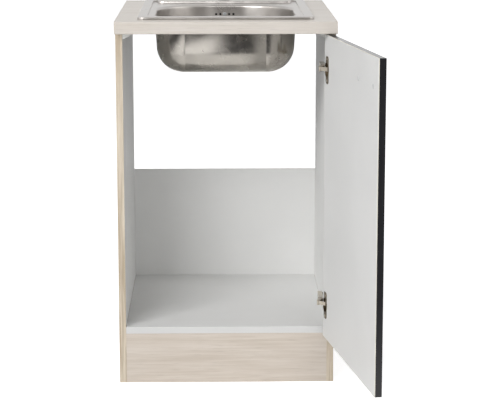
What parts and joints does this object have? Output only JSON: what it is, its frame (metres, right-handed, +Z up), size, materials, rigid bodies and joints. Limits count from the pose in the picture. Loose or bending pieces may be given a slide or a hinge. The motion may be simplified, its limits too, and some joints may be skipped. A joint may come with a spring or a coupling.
{
  "type": "kitchen sink unit",
  "caption": "Kitchen sink base unit: open-backed cabinet with a hinged door on concealed hinges, a worktop and an inset pressed-steel sink.",
  "frame": {"origin": "floor level, middle of the cabinet width, in the plane of the side panels' front edges", "axes": "+Z up, +Y from the door side towards the wall, +X to the side where the door is hinged"},
  "size_m": [0.5671, 1.0469, 0.859],
  "materials": {
    "cabinet_board": "white melamine-faced chipboard, pale wood decor on the outer faces of the sides",
    "wood_edging": "pale acacia-like decor, matt",
    "white_edging": "white melamine",
    "plinth_board": "pale acacia-like decor, grain across",
    "hardboard": "white lacquered hardboard",
    "worktop_laminate": "pale laminate with very faint grain",
    "pressed_steel": "satin stainless steel",
    "foam_gasket": "closed-cell foam",
    "zinc_steel": "zinc plated",
    "cast_zinc": "die cast",
    "dowel_wood": "beech",
    "white_plastic": "moulded",
    "black_plastic": "moulded",
    "door_white": "white melamine",
    "dark_laminate": "anthracite, satin",
    "dark_edging": "anthracite, satin",
    "nickel_steel": "nickel plated"
  },
  "bodies": {
    "cabinet": {"back_nails": "zinc_steel", "back_panel": "hardboard", "block_side_screws": "zinc_steel", "block_top_screws": "zinc_steel", "cabinet_floor": "cabinet_board", "cam_bolts": "zinc_steel", "cam_locks": "cast_zinc", "corner_block_front_left": "white_plastic", "corner_block_front_right": "white_plastic", "corner_block_rear_left": "white_plastic", "corner_block_rear_right": "white_plastic", "dowels": "dowel_wood", "floor_edging": "white_edging", "hinge_arm_lower": "nickel_steel", "hinge_arm_screws": "nickel_steel", "hinge_arm_upper": "nickel_steel", "hinge_pins": "nickel_steel", "hinge_plate_lower": "nickel_steel", "hinge_plate_screws": "nickel_steel", "hinge_plate_upper": "nickel_steel", "overflow_housing": "black_plastic", "overflow_nut": "zinc_steel", "overflow_screw": "zinc_steel", "plinth": "plinth_board", "side_edging_left": "wood_edging", "side_edging_right": "wood_edging", "side_panel_left": "cabinet_board", "side_panel_right": "cabinet_board", "sink": "pressed_steel", "sink_clamp_screws": "zinc_steel", "sink_clamps": "zinc_steel", "sink_gasket": "foam_gasket", "worktop": "worktop_laminate"},
    "door": {"door_board": "door_white", "door_front_sheet": "dark_laminate", "door_edging": "dark_edging", "handle_hole_caps": "white_plastic", "hinge_cup_lower": "nickel_steel", "hinge_cup_upper": "nickel_steel", "hinge_cup_screws": "nickel_steel"},
    "lower_link": {"hinge_link_lower": "nickel_steel"},
    "upper_link": {"hinge_link_upper": "nickel_steel"}
  },
  "joints": [
    {"name": "door_swing", "type": "hinge", "parent": "cabinet", "child": "door", "pos_m": [0.2402, -0.0183, 0.467], "axis": [0, 0, 1], "range_deg": [-99, 6]},
    {"name": "lower_link_turn", "type": "hinge", "parent": "cabinet", "child": "lower_link", "pos_m": [0.213, -0.011, 0.1945], "axis": [0, 0, 1], "range_deg": [-3.6, 58]},
    {"name": "upper_link_turn", "type": "hinge", "parent": "cabinet", "child": "upper_link", "pos_m": [0.213, -0.011, 0.7395], "axis": [0, 0, 1], "range_deg": [-3.6, 58]}
  ],
  "couplings": [
    {"joint": "lower_link_turn", "follows": "door_swing", "ratio": -0.5848},
    {"joint": "upper_link_turn", "follows": "door_swing", "ratio": -0.5848}
  ]
}
